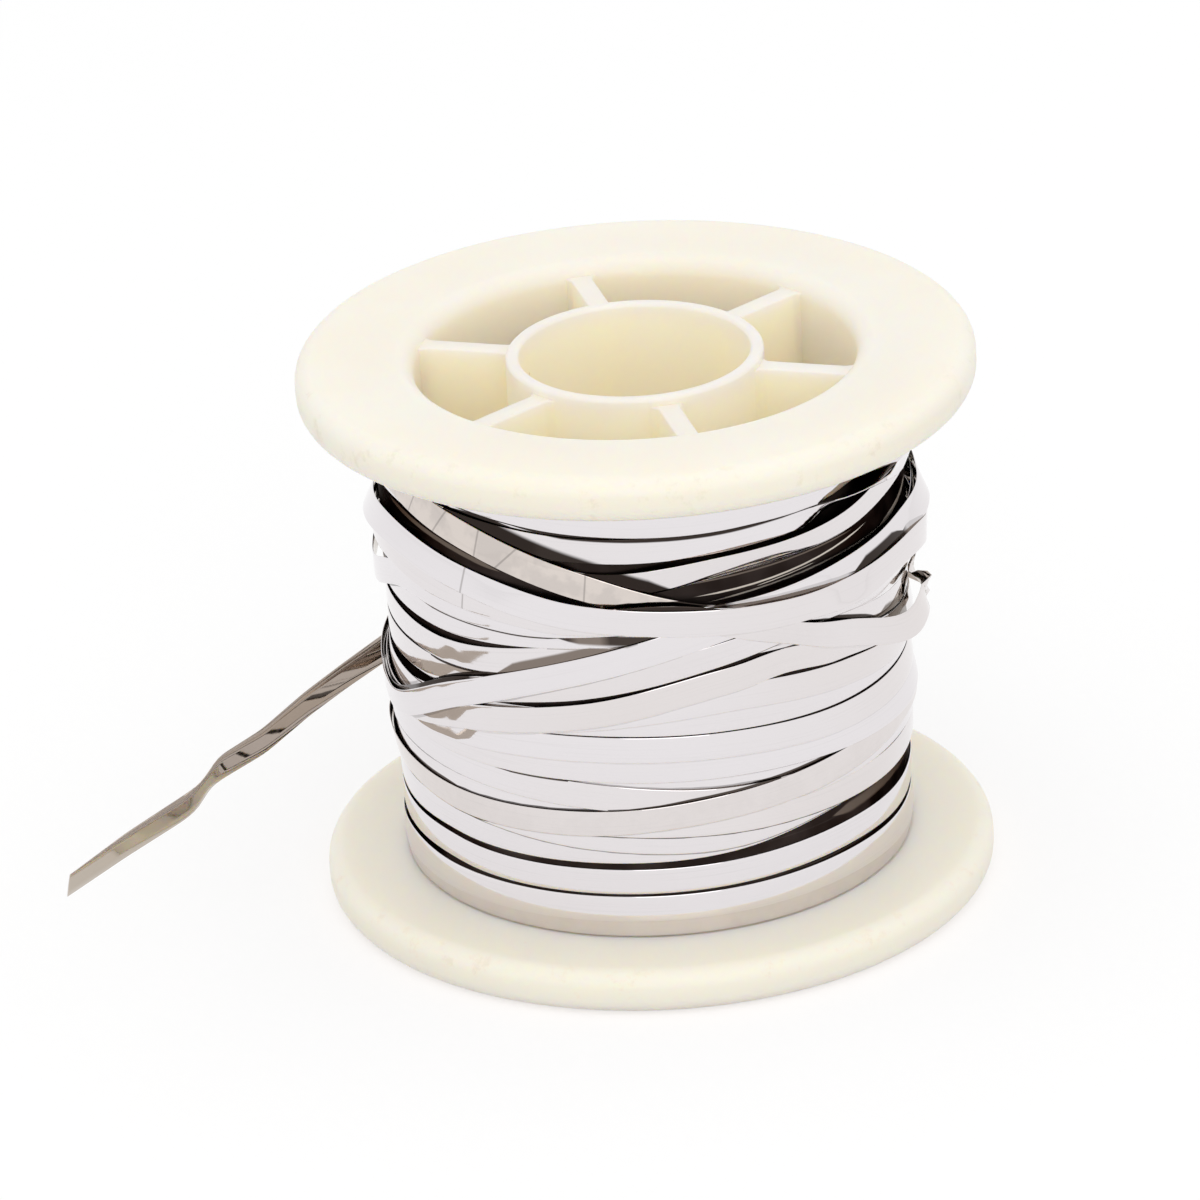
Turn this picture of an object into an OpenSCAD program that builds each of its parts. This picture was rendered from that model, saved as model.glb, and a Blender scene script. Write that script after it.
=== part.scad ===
// Flat resistance ribbon on its moulded spool, with the crossing last turns and the free end

/* [Spool] */
// Diameter over the flanges
flange_d = 60; // [56:0.5:80]
// Thickness of each flange
flange_t = 4.1; // [3.6:0.1:6]
// Height over both flanges
spool_h = 51; // [40:0.5:70]
// Rounding of the flange rims
rim_round = 1.6; // [0.4:0.1:1.7]
// Outer diameter of the barrel that carries the ribbon
barrel_d = 43.8; // [42:0.1:46]
// Wall of the barrel
barrel_wall = 2.4; // [1.6:0.1:3]
// Rounding where the hollow barrel opens into the flange
mouth_round = 1.8; // [0.4:0.1:3]

/* [Centre tube and ribs] */
// Bore that the spool turns on
bore_d = 20.4; // [12:0.1:21]
// Outer diameter of the centre tube
tube_d = 22.8; // [22.4:0.1:26]
// Depth of the tube's upper end below the flange face
tube_inset = 0.45; // [0:0.05:2]
// Chamfer round the tube's upper end
tube_chamfer = 0.3; // [0.1:0.05:0.5]
// Number of ribs between the tube and the barrel
rib_count = 6; // [3:1:8]
// Thickness of one rib
rib_t = 1.9; // [1.2:0.1:3]
// Fillet where a rib meets the tube and the barrel
rib_fillet = 1; // [0.4:0.1:1.2]
// Depth of a rib's edge below the flange face
rib_inset = 1.2; // [0.5:0.1:6]
// Direction of the first rib
rib_angle = 43; // [0:1:120]

/* [Ribbon] */
// Width of the ribbon
ribbon_w = 2.4; // [1.6:0.1:2.8]
// Thickness of the ribbon
ribbon_t = 0.1; // [0.05:0.01:0.2]
// Depth of the wound layers at the lower flange
wound_t = 0.75; // [0.4:0.05:2]
// Further depth of the wound layers at the upper flange
wound_rise = 0.8; // [0:0.05:1.2]
// How far the upper turns stand off on the loose side
loose_side = 1.2; // [0:0.1:2]
// How far the last turns stand off on the left
left_bulge = 1; // [0:0.1:1.5]
// How far the loop of the last turn but one bulges out
loop_bulge = 1.7; // [0:0.1:2.4]
// Length of the free end
tail_l = 56; // [20:1:90]

/* [Hidden] */

flange_r = flange_d / 2;
barrel_r = barrel_d / 2;
barrel_in_r = barrel_r - barrel_wall;
tube_r = tube_d / 2;
bore_r = bore_d / 2;

// Clearance between the wound layers and the spool
seat_gap = 0.1;
// Air between one turn and the turn that it lies on
lay_gap = 0.03;
// Depth to which a rib runs into the walls that it joins
rib_root = 0.5;
// Depth in the walls at which the rib's fillets end
rib_sink = 0.2;
fillet_step = 15;

// Space between the flanges
space_low = flange_t + seat_gap;
space_high = spool_h - flange_t - seat_gap;

// Heights of the last turns, in millimetres above the base of a spool 51 high.
// Each row is one turn, read at six places 30 degrees apart across the front.
turn_rows = [
    [5.4, 5.4, 5.4, 5.4, 5.4, 5.4],
    [6.5, 6.75, 6.9, 6.95, 7.0, 6.8],
    [10.2, 9.55, 9.55, 9.65, 9.9, 9.7],
    [13.1, 12.5, 12.55, 12.9, 14.3, 14.6],
    [15.5, 14.8, 13.9, 13.3, 14.5, 14.8],
    [15.6, 15.4, 15.4, 14.9, 14.5, 14.4],
    [17.2, 17.1, 16.9, 16.8, 17.0, 17.2],
    [18.9, 18.7, 18.6, 18.3, 17.6, 17.9],
    [19.1, 18.7, 18.0, 17.0, 16.9, 17.2],
    [15.5, 15.0, 15.4, 16.45, 17.4, 18.3],
    [20.8, 20.7, 20.6, 20.3, 19.8, 19.6],
    [21.7, 22.1, 22.5, 22.2, 21.5, 21.3],
    [23.0, 24.4, 25.0, 24.7, 24.1, 23.9],
    [23.5, 23.7, 25.5, 26.6, 25.6, 24.5],
    [26.8, 27.2, 29.2, 31.5, 30.8, 28.9],
    [29.5, 29.5, 31.4, 33.0, 34.0, 34.0],
    [32.5, 32.6, 33.5, 34.5, 34.5, 34.0],
    [22.0, 23.8, 25.8, 28.3, 28.25, 26.5],
    [21.6, 26.3, 28.6, 31.1, 33.0, 33.5],
    [21.5, 26.1, 30.2, 33.6, 35.2, 35.4],
    [44.6, 44.4, 43.9, 44.4, 45.4, 45.6],
    [43.6, 42.0, 38.4, 39.5, 40.5, 43.3],
    [43.0, 42.3, 41.65, 41.85, 43.0, 43.6],
    [45.6, 45.2, 44.3, 44.1, 45.15, 45.6],
    [44.0, 42.1, 38.4, 34.6, 34.6, 34.6],
    [36.6, 35.8, 35.0, 34.8, 35.7, 36.1],
    [34.6, 34.3, 34.2, 33.8, 32.9, 31.4],
    [36.6, 35.6, 34.8, 34.1, 29.7, 26.4],
    [38.6, 37.2, 35.5, 34.3, 34.3, 34.2]
];
rows_low = 5.4;
rows_high = 45.6;
row_start = 195;
row_pitch = 30;

// Height at which the free end leaves the winding, in the same measure
exit_height = 19.4;

// The free end: distance along it as a share of its length, drop below the exit and lean of its face
tail_rows = [
    [0.00, 0.0, 0],
    [0.07, 0.2, 6],
    [0.16, 0.5, 12],
    [0.25, 0.5, 12],
    [0.36, 1.0, 14],
    [0.48, 1.4, 14],
    [0.61, 1.2, 14],
    [0.655, 1.9, 24],
    [0.70, 2.1, 28],
    [0.85, 2.2, 28],
    [1.00, 2.8, 30]
];
// Sections between two rows of the free end
tail_splits = 3;

turn_count = len(turn_rows);
steps = 40;
step_angle = 360 / steps;
start_angle = 90;
exit_step = 46;
last_step = steps * (turn_count - 1) + exit_step;

half_w = ribbon_w / 2;
pitch = ribbon_t + lay_gap;
// The flats of a turn between two steps lie this much deeper than the steps themselves
flat_depth = (barrel_r + wound_t + wound_rise) * (1 - cos(step_angle / 2));
bed_gap = flat_depth + lay_gap;
knots = 7;
end_knot = knots * turn_count;
// The loose loop and the left bulge: their turns, and middle and reach in degrees
loop_turn = turn_count - 2;
loop_angle = 352;
loop_reach = 42;
left_turns = [turn_count - 3, turn_count - 1];
left_angle = 186;
left_reach = 48;
loose_angle = -6;
loose_from = 0.6;

// Height in the winding for a height in the rows
function fitted(h) =
    let (low = space_low + half_w, high = space_high - half_w)
    low + (h - rows_low) * (high - low) / (rows_high - rows_low);

// Knots of the route: one behind the winding and six across its front, for each turn
function knot_angle(i) =
    let (k = floor(i / knots), j = i - knots * k)
    i == end_knot ? start_angle + step_angle * last_step
    : 360 * k + (j == 0 ? start_angle : row_start + row_pitch * (j - 1));

function knot_height(i) =
    let (k = floor(i / knots), j = i - knots * k)
    i == end_knot ? fitted(exit_height)
    : j > 0 ? fitted(turn_rows[k][j - 1])
    : k == 0 ? fitted(turn_rows[0][0])
    : fitted((turn_rows[k - 1][5] + turn_rows[k][0]) / 2);

function knot_slope(i) =
    let (a = max(i - 1, 0), b = min(i + 1, end_knot))
    (knot_height(b) - knot_height(a)) / (knot_angle(b) - knot_angle(a));

function knot_before(angle) =
    let (
        k = min(turn_count - 1, floor((angle - start_angle) / 360)),
        b = angle - 360 * k
    )
    knots * k + (b < row_start ? 0 : min(6, 1 + floor((b - row_start) / row_pitch)));

// Smooth height between two knots
function route_height(angle) =
    let (
        i = knot_before(angle),
        span = knot_angle(i + 1) - knot_angle(i),
        u = (angle - knot_angle(i)) / span,
        a = knot_height(i),
        b = knot_height(i + 1),
        ta = span * knot_slope(i),
        tb = span * knot_slope(i + 1)
    )
    a * (2 * u * u * u - 3 * u * u + 1) + ta * (u * u * u - 2 * u * u + u)
    + b * (3 * u * u - 2 * u * u * u) + tb * (u * u * u - u * u);

function step_to_angle(j) = start_angle + step_angle * j;

// Radius of the wound layers at a height
function wound_r(z) =
    barrel_r + wound_t + wound_rise * (z - space_low) / (space_high - space_low);

raw_height = [for (j = [0 : last_step]) route_height(step_to_angle(j))];

// A turn that climbs takes more height than one that runs level
function half_height(j) =
    let (
        a = max(j - 1, 0),
        b = min(j + 1, last_step),
        rise = (raw_height[b] - raw_height[a]) / (b - a),
        run = barrel_r * step_angle * PI / 180
    )
    half_w * sqrt(1 + pow(rise / run, 2));

half = [for (j = [0 : last_step]) half_height(j)];
height = [for (j = [0 : last_step])
    max(space_low + half[j], min(space_high - half[j], raw_height[j]))];

// Share of a bulge that has its middle and reach in degrees of one turn
function swell(angle, turn, middle, reach) =
    let (share = abs(angle - 360 * turn - middle) / reach)
    share < 1 ? pow(cos(90 * share), 2) : 0;

// How far a turn would stand off the layers if nothing lay under it
function stand_off(j) =
    let (
        angle = step_to_angle(j),
        share = (height[j] - space_low) / (space_high - space_low),
        upper = max(0, (share - loose_from) / (1 - loose_from)),
        side = pow(max(0, cos(angle - loose_angle)), 2),
        loop = swell(angle, loop_turn, loop_angle, loop_reach),
        left = max([for (turn = left_turns) swell(angle, turn, left_angle, left_reach)])
    )
    loose_side * min(1, 2 * upper) * side + loop_bulge * loop + left_bulge * left;

function crosses(j, m) =
    let (i = j - steps * m)
    i >= 0 && j <= last_step && abs(height[j] - height[i]) < half[j] + half[i] + lay_gap;

function meets(j, m) = crosses(j - 1, m) || crosses(j, m) || crosses(j + 1, m);

// Each turn rests on the highest of the earlier turns that it crosses
function laid(j, done) =
    j > last_step ? done
    : laid(j + 1, concat(done, [max(concat([stand_off(j)], [
        for (m = [1 : 1 : floor((j + 1) / steps)])
        let (i = j - steps * m)
        if (meets(j, m)) pitch + max([for (n = [max(i - 1, 0) : min(i + 1, j - 1)]) done[n]])
    ]))]));

lift = laid(0, []);

// The four corners of the ribbon's section at a step: inner low, outer low, outer high, inner high
function section(j) =
    let (angle = step_to_angle(j), low = height[j] - half[j], high = height[j] + half[j])
    [for (c = [[low, 0], [low, 1], [high, 1], [high, 0]])
        let (r = wound_r(c[0]) + bed_gap + lift[j] + c[1] * ribbon_t)
        [r * cos(angle), r * sin(angle), c[0]]];

exit_angle = step_to_angle(last_step);
exit_along = [-sin(exit_angle), cos(exit_angle), 0];
exit_out = [cos(exit_angle), sin(exit_angle), 0];
exit_ring = section(last_step);
exit_middle = (exit_ring[0] + exit_ring[1] + exit_ring[2] + exit_ring[3]) / 4;

// Section of the free end at one row
function tail_section(row) =
    let (
        middle = exit_middle + tail_l * row[0] * exit_along - [0, 0, row[1]],
        up = [0, 0, cos(row[2])] - sin(row[2]) * exit_out,
        out = exit_out * cos(row[2]) + [0, 0, sin(row[2])]
    )
    [
        middle - half_w * up - ribbon_t / 2 * out,
        middle - half_w * up + ribbon_t / 2 * out,
        middle + half_w * up + ribbon_t / 2 * out,
        middle + half_w * up - ribbon_t / 2 * out
    ];

// A closed strip through a row of four-cornered sections
module strip(sections) {
    n = len(sections);
    // Both faces of the strip are split along the same diagonal, so that a twist keeps its thickness
    sides = [for (s = [0 : n - 2], c = [0 : 3])
        let (a = 4 * s + c, b = 4 * s + (c + 1) % 4)
        each c < 3 ? [[a, b, b + 4], [a, b + 4, a + 4]] : [[a, b, a + 4], [b, b + 4, a + 4]]];
    first = [[3, 2, 1, 0]];
    last = [[4 * n - 4, 4 * n - 3, 4 * n - 2, 4 * n - 1]];
    polyhedron(points = [for (s = sections) each s], faces = concat(sides, first, last), convexity = 10);
}

// Half section of one flange, with its face down
module flange_half() {
    face_r = barrel_in_r + mouth_round;
    translate([face_r, 0]) square([flange_r - rim_round - face_r, flange_t]);
    translate([barrel_r, rim_round]) square([flange_r - barrel_r, flange_t - 2 * rim_round]);
    for (z = [rim_round, flange_t - rim_round]) {
        translate([flange_r - rim_round, z]) circle(r = rim_round, $fn = 64);
    }
    translate([face_r, mouth_round]) circle(r = mouth_round, $fn = 64);
}

module barrel_and_flanges() {
    rotate_extrude($fn = 180) {
        flange_half();
        translate([0, spool_h]) mirror([0, 1]) flange_half();
        translate([barrel_in_r, mouth_round]) square([barrel_wall, spool_h - 2 * mouth_round]);
    }
}

module centre_tube() {
    top = spool_h - tube_inset;
    rotate_extrude($fn = 120) {
        polygon([
            [bore_r, 0],
            [tube_r, 0],
            [tube_r, top - tube_chamfer],
            [tube_r - tube_chamfer, top],
            [bore_r + tube_chamfer, top],
            [bore_r, top - tube_chamfer]
        ]);
    }
}

// One side of a rib's plan, widening at both ends into the walls that it joins
function rib_side() =
    let (
        out = rib_t / 2 + rib_fillet,
        near = tube_r - rib_sink + rib_fillet,
        far = barrel_in_r + rib_sink - rib_fillet
    )
    concat(
        [[tube_r - rib_root, out]],
        [for (a = [180 : fillet_step : 270]) [near + rib_fillet * cos(a), out + rib_fillet * sin(a)]],
        [for (a = [270 : fillet_step : 360]) [far + rib_fillet * cos(a), out + rib_fillet * sin(a)]],
        [[barrel_in_r + rib_root, out]]
    );

module ribs() {
    side = rib_side();
    n = len(side);
    for (k = [0 : rib_count - 1]) {
        rotate([0, 0, rib_angle + 360 * k / rib_count])
            translate([0, 0, rib_inset])
                linear_extrude(height = spool_h - 2 * rib_inset)
                    polygon(concat([for (p = side) [p[0], -p[1]]], [for (i = [n - 1 : -1 : 0]) side[i]]));
    }
}

module spool() {
    color([0.96, 0.93, 0.84]) {
        barrel_and_flanges();
        centre_tube();
        ribs();
    }
}

module wound_ribbon() {
    color([0.30, 0.27, 0.27])
        rotate_extrude($fn = 180) {
            polygon([
                [barrel_r + seat_gap, space_low],
                [wound_r(space_low), space_low],
                [wound_r(space_high), space_high],
                [barrel_r + seat_gap, space_high]
            ]);
        }
}

module ribbon_turns() {
    color([0.86, 0.85, 0.87])
        strip([for (j = [0 : last_step]) section(j)]);
}

module ribbon_tail() {
    rows = [for (i = [1 : len(tail_rows) - 1], s = [1 : tail_splits])
        tail_rows[i - 1] + (tail_rows[i] - tail_rows[i - 1]) * s / tail_splits];
    color([0.72, 0.69, 0.68])
        strip(concat([exit_ring], [for (row = rows) tail_section(row)]));
}

spool();
wound_ribbon();
ribbon_turns();
ribbon_tail();
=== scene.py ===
import math

import bmesh
import bpy
import numpy as np
from bpy.props import FloatProperty, FloatVectorProperty, IntProperty, PointerProperty
from mathutils import Matrix, Vector


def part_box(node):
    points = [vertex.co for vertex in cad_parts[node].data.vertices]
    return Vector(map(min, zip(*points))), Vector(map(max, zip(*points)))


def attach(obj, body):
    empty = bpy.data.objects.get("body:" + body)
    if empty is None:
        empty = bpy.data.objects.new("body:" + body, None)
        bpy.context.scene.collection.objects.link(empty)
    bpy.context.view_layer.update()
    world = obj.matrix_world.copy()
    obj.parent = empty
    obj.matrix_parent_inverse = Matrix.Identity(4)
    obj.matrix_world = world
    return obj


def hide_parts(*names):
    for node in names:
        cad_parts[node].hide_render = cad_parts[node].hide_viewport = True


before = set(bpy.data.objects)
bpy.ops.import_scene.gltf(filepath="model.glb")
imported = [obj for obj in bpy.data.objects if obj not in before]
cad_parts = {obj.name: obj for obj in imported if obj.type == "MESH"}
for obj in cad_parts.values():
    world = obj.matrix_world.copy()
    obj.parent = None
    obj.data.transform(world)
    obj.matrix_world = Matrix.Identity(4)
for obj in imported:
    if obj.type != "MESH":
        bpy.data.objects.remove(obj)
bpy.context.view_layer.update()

bl_info = {
    "name": "Nichrome ribbon spool",
    "version": (1, 0, 0),
    "blender": (4, 5, 0),
    "location": "View3D > Sidebar > Ribbon spool",
    "description": "Dresses a spool of flat resistance ribbon over its solid frame",
    "category": "Object",
}

MM = 0.001
ROOT = "root"

spool_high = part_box("spool")[1]
layers_low, layers_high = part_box("wound_ribbon")

# Heights of the last turns in millimetres, each row one turn, read at six places across the front
TURN_ROWS = [
    [5.4, 5.4, 5.4, 5.4, 5.4, 5.4],
    [6.5, 6.75, 6.9, 6.95, 7.0, 6.8],
    [10.2, 9.55, 9.55, 9.65, 9.9, 9.7],
    [13.1, 12.5, 12.55, 12.9, 14.3, 14.6],
    [15.5, 14.8, 13.9, 13.3, 14.5, 14.8],
    [15.6, 15.4, 15.4, 14.9, 14.5, 14.4],
    [17.2, 17.1, 16.9, 16.8, 17.0, 17.2],
    [18.9, 18.7, 18.6, 18.3, 17.6, 17.9],
    [19.1, 18.7, 18.0, 17.0, 16.9, 17.2],
    [15.5, 15.0, 15.4, 16.45, 17.4, 18.3],
    [20.8, 20.7, 20.6, 20.3, 19.8, 19.6],
    [21.7, 22.1, 22.5, 22.2, 21.5, 21.3],
    [23.0, 24.4, 25.0, 24.7, 24.1, 23.9],
    [23.5, 23.7, 25.5, 26.6, 25.6, 24.5],
    [26.8, 27.2, 29.2, 31.5, 30.8, 28.9],
    [29.5, 29.5, 31.4, 33.0, 34.0, 34.0],
    [32.5, 32.6, 33.5, 34.5, 34.5, 34.0],
    [22.0, 23.8, 25.8, 28.3, 28.25, 26.5],
    [21.6, 26.3, 28.6, 31.1, 33.0, 33.5],
    [21.5, 26.1, 30.2, 33.6, 35.2, 35.4],
    [44.6, 44.4, 43.9, 44.4, 45.4, 45.6],
    [43.6, 42.0, 38.4, 39.5, 40.5, 43.3],
    [43.0, 42.3, 41.65, 41.85, 43.0, 43.6],
    [45.6, 45.2, 44.3, 44.1, 45.15, 45.6],
    [44.0, 42.1, 38.4, 34.6, 34.6, 34.6],
    [36.6, 35.8, 35.0, 34.8, 35.7, 36.1],
    [34.6, 34.3, 34.2, 33.8, 32.9, 31.4],
    [36.6, 35.6, 34.8, 34.1, 29.7, 26.4],
    [38.6, 37.2, 35.5, 34.3, 34.3, 34.2],
]
# The rows' lowest and highest height, the direction of their first place and the step between places
ROWS_LOW = 5.4
ROWS_HIGH = 45.6
ROW_START = 195.0
ROW_PITCH = 30.0
# Where the route starts, how far past it the last turn ends, and at what height
START_ANGLE = 90.0
EXIT_TURN_ANGLE = 54.0
EXIT_HEIGHT = 19.4

# The winding's radius at its lower end, the radius for climbs, and half a strip, in millimetres
WINDING_RADIUS = 22.65
CLIMB_RADIUS = 21.9
EDGE_ROOM = 1.2
# The upper turns stand off around this direction, from this share of the winding's height up
LOOSE_DIRECTION = -6.0
LOOSE_FROM = 0.6
# The loose loop: turn, middle and reach in degrees
LOOP = (27, 352, 42)
# Cell of the bed's rows of heights, steepest lean, and reach of the easing in steps
BED_CELL = 0.05
STEEPEST_LEAN = 0.5
EASING = 5
WARMTH_EASING = 12
# Narrowest and widest line of painted shade beside a turn's edge, in millimetres
SEAM_REACH = (0.1, 0.36)

# The free end: sections, share over which its lean settles, warmth, and rows of share, drop in mm and lean
TAIL_STEPS = 80
TAIL_SETTLES = 0.07
TAIL_WARMTH = 0.5
TAIL_ROWS = [
    [0.00, 0.0, 0],
    [0.07, -0.2, -18],
    [0.16, 0.0, -14],
    [0.25, 0.2, -9],
    [0.36, 0.6, -6],
    [0.48, 1.5, -4],
    [0.60, 1.4, 2],
    [0.635, 2.0, 22],
    [0.66, 2.8, 6],
    [0.70, 2.95, 0],
    [0.85, 2.95, 4],
    [1.00, 3.3, 14],
]

# Where a turn strays from its smooth lay: turn, middle and reach in degrees, rise, stand-off in mm, lean
STRAYS = [
    [1, 198, 20, 0.2, 0, 0],
    [2, 198, 22, -0.45, 0, 0],
    [3, 198, 22, -0.5, 0, 0],
    [11, 214, 22, 0, 0, -0.17],
    [12, 214, 18, 0, 0, -0.08],
    [14, 212, 24, 0, 0, 0.02],
    [15, 216, 24, 0, 0, 0.09],
    [17, 300, 14, 0.5, 0, 0],
    [16, 227, 24, 0, 0, -0.1],
    [19, 214, 24, 0, 0.05, 0.28],
    [21, 296, 45, 0, 0.2, 0.45],
    [22, 318, 18, 0.1, 0.7, 1.6],
    [23, 321, 11, 0.45, 0, 0],
    [24, 232, 45, 0, 0.2, -0.35],
    [25, 184, 40, 0, 0.6, 0],
    [26, 181, 26, -2.7, 0.9, 0],
    [26, 229, 24, 0, 0, -0.08],
    [26, 272, 34, 1.1, 0, 0],
    [27, 272, 26, 0.8, 0, 0],
    [27, 335, 40, 0, 0, -0.3],
    [27, 378, 32, -1.9, -0.5, 0],
    [27, 358, 5, 0.3, 0, 0.9],
    [27, 366, 5, -0.3, -0.9, -0.9],
    [27, 375, 6, 0.4, -0.3, 1.0],
    [27, 384, 6, -0.2, -0.8, -0.8],
    [28, 186, 50, 0, 0.9, 0],
    [28, 281, 34, 0.4, 0, 0],
    [28, 504, 40, 0, 0.9, 0],
]

# Painted shadows and dark reflections beside raised edges: turn, first and last degree, side of the edge, height in
# mm, tone
CASTS = [
    [24, 222, 282, 1, 1.65, 0.05],
    [19, 211, 236, 1, 0.5, 0.1],
    [19, 233, 262, 1, 0.95, 1.0],
    [23, 236, 316, -1, 0.5, 0.1],
    [26, 206, 258, -1, 0.3, 0.2],
    [25, 248, 271, -1, 1.2, 0.2],
    [15, 210, 243, -1, 0.3, 0.1],
    [9, 198, 222, 1, 0.3, 0.3],
    [9, 262, 338, 1, 0.3, 0.3],
    [9, 204, 232, -1, 0.3, 0.4],
    [10, 232, 254, -1, 0.22, 0.3],
    [25, 276, 318, -1, 0.12, 0.6],
    [27, 302, 331, 1, 0.42, 0.1],
    [27, 329, 352, 1, 1.3, 0.7],
    [28, 260, 287, 1, 0.5, 0.1],
    [28, 317, 338, 1, 0.75, 0.1],
]

# How dark the painted shade line beside a turn's upper and lower edge is, where it isn't the usual one
EDGE_LINES = {
    1: (0.3, 0.0), 4: (0.3, 0.55), 5: (0.2, 0.8), 8: (0.45, 0.05), 9: (0.85, 0.15), 10: (0.3, 0.05),
    11: (0.9, 0.08), 12: (0.3, 0.8), 13: (0.1, 0.08), 14: (0.8, 0.2), 15: (0.8, 0.5), 16: (0.3, 0.5),
    17: (0.2, 0.12), 18: (0.4, 0.7), 19: (0.8, 0.3), 21: (0.5, 0.2), 22: (1.0, 0.6), 23: (0.5, 1.0),
    24: (0.9, 0.8), 25: (0.9, 0.3), 26: (0.5, 0.85), 27: (1.0, 0.05), 28: (0.25, 0.06),
}
USUAL_LINE = 0.35

# Painted highlights on thin edges of deeper turns on the buried layers: first and last degree, height at the first,
# midway and at the last, half width
BRIGHT_EDGES = [
    [278, 327, 36.75, 37.36, 38.62, 0.11],
    [293, 309, 36.73, 37.04, 37.28, 0.05],
    [281, 334, 36.03, 36.86, 37.13, 0.10],
    [331, 354, 37.10, 37.62, 38.40, 0.32],
]
BROWN_EDGES = [
    [197, 238, 41.1, 40.05, 38.5, 0.30],
    [274, 322, 37.95, 38.42, 38.72, 0.10],
    [310, 358, 12.1, 12.5, 12.7, 0.65],
]

# Turns with a warmer tint and its share, and the creases across the strip: turn, degree, slant, width in degrees
WARM_TURNS = {0: 0.45, 9: 0.4, 24: 1.0, 14: 0.12, 17: 0.12, 21: 0.12, 27: 0.14}
CREASES = [
    [24, 213.5, 0.6, 0.30],
    [24, 222.5, 0.8, 0.34],
    [24, 232.5, -0.4, 0.30],
    [24, 239.5, 1.2, 0.34],
    [24, 256.5, -0.5, 0.28],
    [28, 227.2, 0.0, 0.36],
    [27, 227.0, 0.0, 0.30],
]


def number(name, description, default, **more):
    """A number, which may have a unit or a subtype"""
    return FloatProperty(name=name, description=description, default=default, **more)


def metres(name, description, default):
    """A length in metres"""
    return number(name, description, default, unit="LENGTH")


def degrees(name, description, value):
    """An angle, its default given in degrees"""
    return number(name, description, math.radians(value), subtype="ANGLE")


def tint(name, description, default):
    """A colour"""
    return FloatVectorProperty(name=name, description=description, default=default, subtype="COLOR")


class RibbonSizes(bpy.types.PropertyGroup):
    """Sizes of the strip and of how it lies, and its colours"""

    width: metres("Width", "Width of the strip", 2.4 * MM)
    thickness: metres("Thickness", "Thickness of the strip", 0.1 * MM)
    crown: metres("Crown", "Rise of the middle of the strip's face", 0.012 * MM)
    edge_drop: metres("Edge drop", "Drop of the rolled edges of the strip", 0.03 * MM)
    steps: IntProperty(name="Steps", description="Sections in one turn", default=160, min=80, max=240)
    lay_gap: metres("Lay gap", "Air between a turn and what it lies on", 0.02 * MM)
    loose_side: metres("Loose side", "Stand-off of the upper turns on the right", 1.2 * MM)
    loop_bulge: metres("Loop bulge", "Stand-off of the loose loop", 1.7 * MM)
    tail_length: metres("Free end", "Length of the free end", 54.7 * MM)
    bright: tint("Bright metal", "Colour of the bright strip", (0.785, 0.755, 0.77))
    warm: tint("Warm metal", "Colour of the oxide-tinted lengths", (0.70, 0.635, 0.59))
    inner_face: tint("Inner face", "Colour of the face that lies inwards", (0.50, 0.44, 0.375))
    buried: tint("Buried layers", "Colour of the shaded inner layers", (0.020, 0.014, 0.012))


class SpoolSizes(bpy.types.PropertyGroup):
    """Sizes of the moulded spool, and its colour"""

    flange_radius: metres("Flange radius", "Radius of both flanges", spool_high.x)
    height: metres("Height", "Height over both flanges", spool_high.z)
    flange: metres("Flange", "Thickness of a flange", 4.1 * MM)
    rim_round: metres("Rim", "Rounding of the rims", 1.6 * MM)
    barrel_radius: metres("Barrel", "Outer radius of the barrel", 21.9 * MM)
    barrel_wall: metres("Wall", "Wall of the barrel", 2.4 * MM)
    mouth_round: metres("Mouth", "Rounding of the barrel's mouth", 1.8 * MM)
    tube_radius: metres("Tube", "Outer radius of the centre tube", 11.4 * MM)
    bore_radius: metres("Bore", "Radius of the spindle bore", 10.2 * MM)
    tube_inset: metres("Tube inset", "Depth of the tube's end below the face", 0.45 * MM)
    rib_thickness: metres("Rib", "Thickness of a rib", 1.9 * MM)
    rib_fillet: metres("Rib fillet", "Fillet at a rib's ends", 1.0 * MM)
    rib_inset: metres("Rib inset", "Depth of a rib's edge", 1.2 * MM)
    rib_angle: degrees("Rib angle", "Direction of the first rib", 43)
    rib_count: IntProperty(name="Ribs", description="Number of ribs", default=6, min=3, max=8)
    plastic: tint("Plastic", "Colour of the plastic", (0.965, 0.860, 0.765))


class StageLook(bpy.types.PropertyGroup):
    """Camera and light"""

    lens: number("Lens", "Focal length in millimetres", 253.64)
    distance: metres("Distance", "From camera to aim", 0.7534)
    elevation: degrees("Elevation", "Camera above the horizon", 24.643)
    roll: degrees("Roll", "Turn of the picture", 3.262)
    aim: FloatVectorProperty(
        name="Aim", description="Point at the middle of the picture", default=(-0.004276, 0, 0.026478), subtype="XYZ"
    )
    ambient: number("Ambient", "Strength of the surrounding light", 0.84)
    lamp: number("Lamp", "Power of the overhead lamp", 1.1)
    front_lamp: number("Front lamp", "Power of the lamp by the camera", 1.6)
    floor_glow: number("Floor glow", "Share of plain white in the floor", 0.60)
    floor_shade: number("Floor shade", "Share of lit surface in the floor", 0.42)


def link_new(name, data):
    """Puts a mesh, lamp or camera into the scene as a new object at the origin"""
    obj = bpy.data.objects.new(name, data)
    bpy.context.scene.collection.objects.link(obj)
    return obj


def run_tree(obj, tree, values):
    """Shapes an object by a node tree, its named inputs set by identifier, and keeps the outcome as its plain mesh"""
    modifier = obj.modifiers.new(tree.name, "NODES")
    modifier.node_group = tree
    for item in tree.interface.items_tree:
        if item.item_type == "SOCKET" and item.in_out == "INPUT" and item.name in values:
            modifier[item.identifier] = values[item.name]
    graph = bpy.context.evaluated_depsgraph_get()
    done = bpy.data.meshes.new_from_object(obj.evaluated_get(graph))
    old = obj.data
    obj.modifiers.clear()
    obj.data = done
    done.name = obj.name
    bpy.data.meshes.remove(old)


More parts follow.
